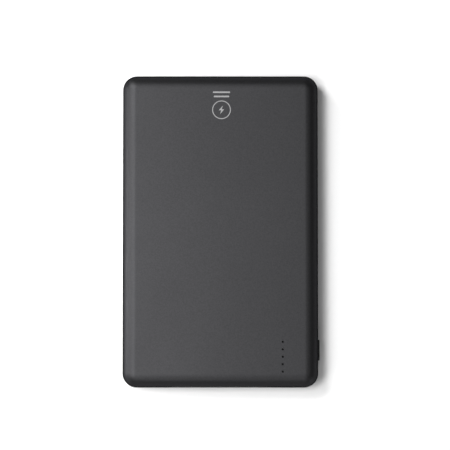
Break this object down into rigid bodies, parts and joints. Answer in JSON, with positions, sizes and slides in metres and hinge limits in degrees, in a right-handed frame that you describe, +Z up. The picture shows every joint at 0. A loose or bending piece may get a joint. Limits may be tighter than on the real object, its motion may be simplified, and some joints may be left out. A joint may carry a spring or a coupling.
{
  "type": "power bank",
  "caption": "Slim flat aluminium power bank with rolled edges, charge lights under pinholes, a side button, and USB-A and USB-C sockets in one end.",
  "frame": {"origin": "centre of the underside, the plain flat face that the power bank lies on", "axes": "+Z up through the thickness, towards the face with the charge lights; +Y along the length, away from the sockets, which are in the -Y end; +X across the width, towards the side with the button"},
  "size_m": [0.0675, 0.107, 0.012],
  "materials": {
    "anodised_shell": "fine bead-blasted, dark grey anodised",
    "frame_plastic": "fine moulded texture, black",
    "button_plastic": "satin black moulding",
    "plunger_plastic": "natural nylon",
    "standoff_alloy": "turned, bare",
    "screw_steel": "zinc plated",
    "bond_tape": "double-sided tape, black",
    "black_foam": "closed-cell foam",
    "pouch_foil": "laminated foil, satin",
    "nickel_tab": "nickel strip",
    "green_board": "solder mask on glass-fibre laminate",
    "chip_resin": "moulded epoxy",
    "amber_tape": "polyimide film",
    "red_insulation": "silicone, red",
    "black_insulation": "silicone, black",
    "solder": "tin solder, smooth",
    "ferrite": "pressed ferrite, dark grey",
    "capacitor_ceramic": "brown ceramic",
    "led_body": "clear and white resin",
    "light_guide_plastic": "smoked acrylic, satin",
    "socket_steel": "nickel-plated stainless sheet",
    "socket_plastic": "glass-filled nylon, black",
    "contact_gold": "gold flash over copper alloy"
  },
  "bodies": {
    "case": {"top_cover": "anodised_shell", "bottom_cover": "anodised_shell", "mid_frame": "frame_plastic", "cover_standoffs": "standoff_alloy", "cover_screws": "screw_steel", "bottom_bond_tapes": "bond_tape", "cell_tapes": "bond_tape", "cell_foam_pad": "black_foam", "pouch_cell": "pouch_foil", "cell_tabs": "nickel_tab", "cell_protection_board": "green_board", "cell_protection_chips": "chip_resin", "cell_end_tape": "amber_tape", "red_lead": "red_insulation", "black_lead": "black_insulation", "solder_joints": "solder", "main_board": "green_board", "power_chip": "chip_resin", "power_inductor": "ferrite", "chip_capacitors": "capacitor_ceramic", "chip_resistors": "chip_resin", "load_switches": "chip_resin", "indicator_leds": "led_body", "light_guide": "light_guide_plastic", "light_mask": "black_foam", "usb_a_shell": "socket_steel", "usb_a_insulator": "socket_plastic", "usb_a_contacts": "contact_gold", "usb_c_shell": "socket_steel", "usb_c_insulator": "socket_plastic", "usb_c_contacts": "contact_gold", "switch_base": "socket_plastic", "switch_cover": "socket_steel"},
    "button": {"power_button": "button_plastic"},
    "plunger": {"switch_plunger": "plunger_plastic"}
  },
  "joints": [
    {"name": "button_press", "type": "slide", "parent": "case", "child": "button", "axis": [-1, 0, 0], "range_m": [0, 0.00025], "stiffness_N_per_m": 8000},
    {"name": "plunger_press", "type": "slide", "parent": "case", "child": "plunger", "axis": [-1, 0, 0], "range_m": [0, 0.00025]}
  ],
  "couplings": [
    {"joint": "plunger_press", "follows": "button_press", "ratio": 1}
  ]
}
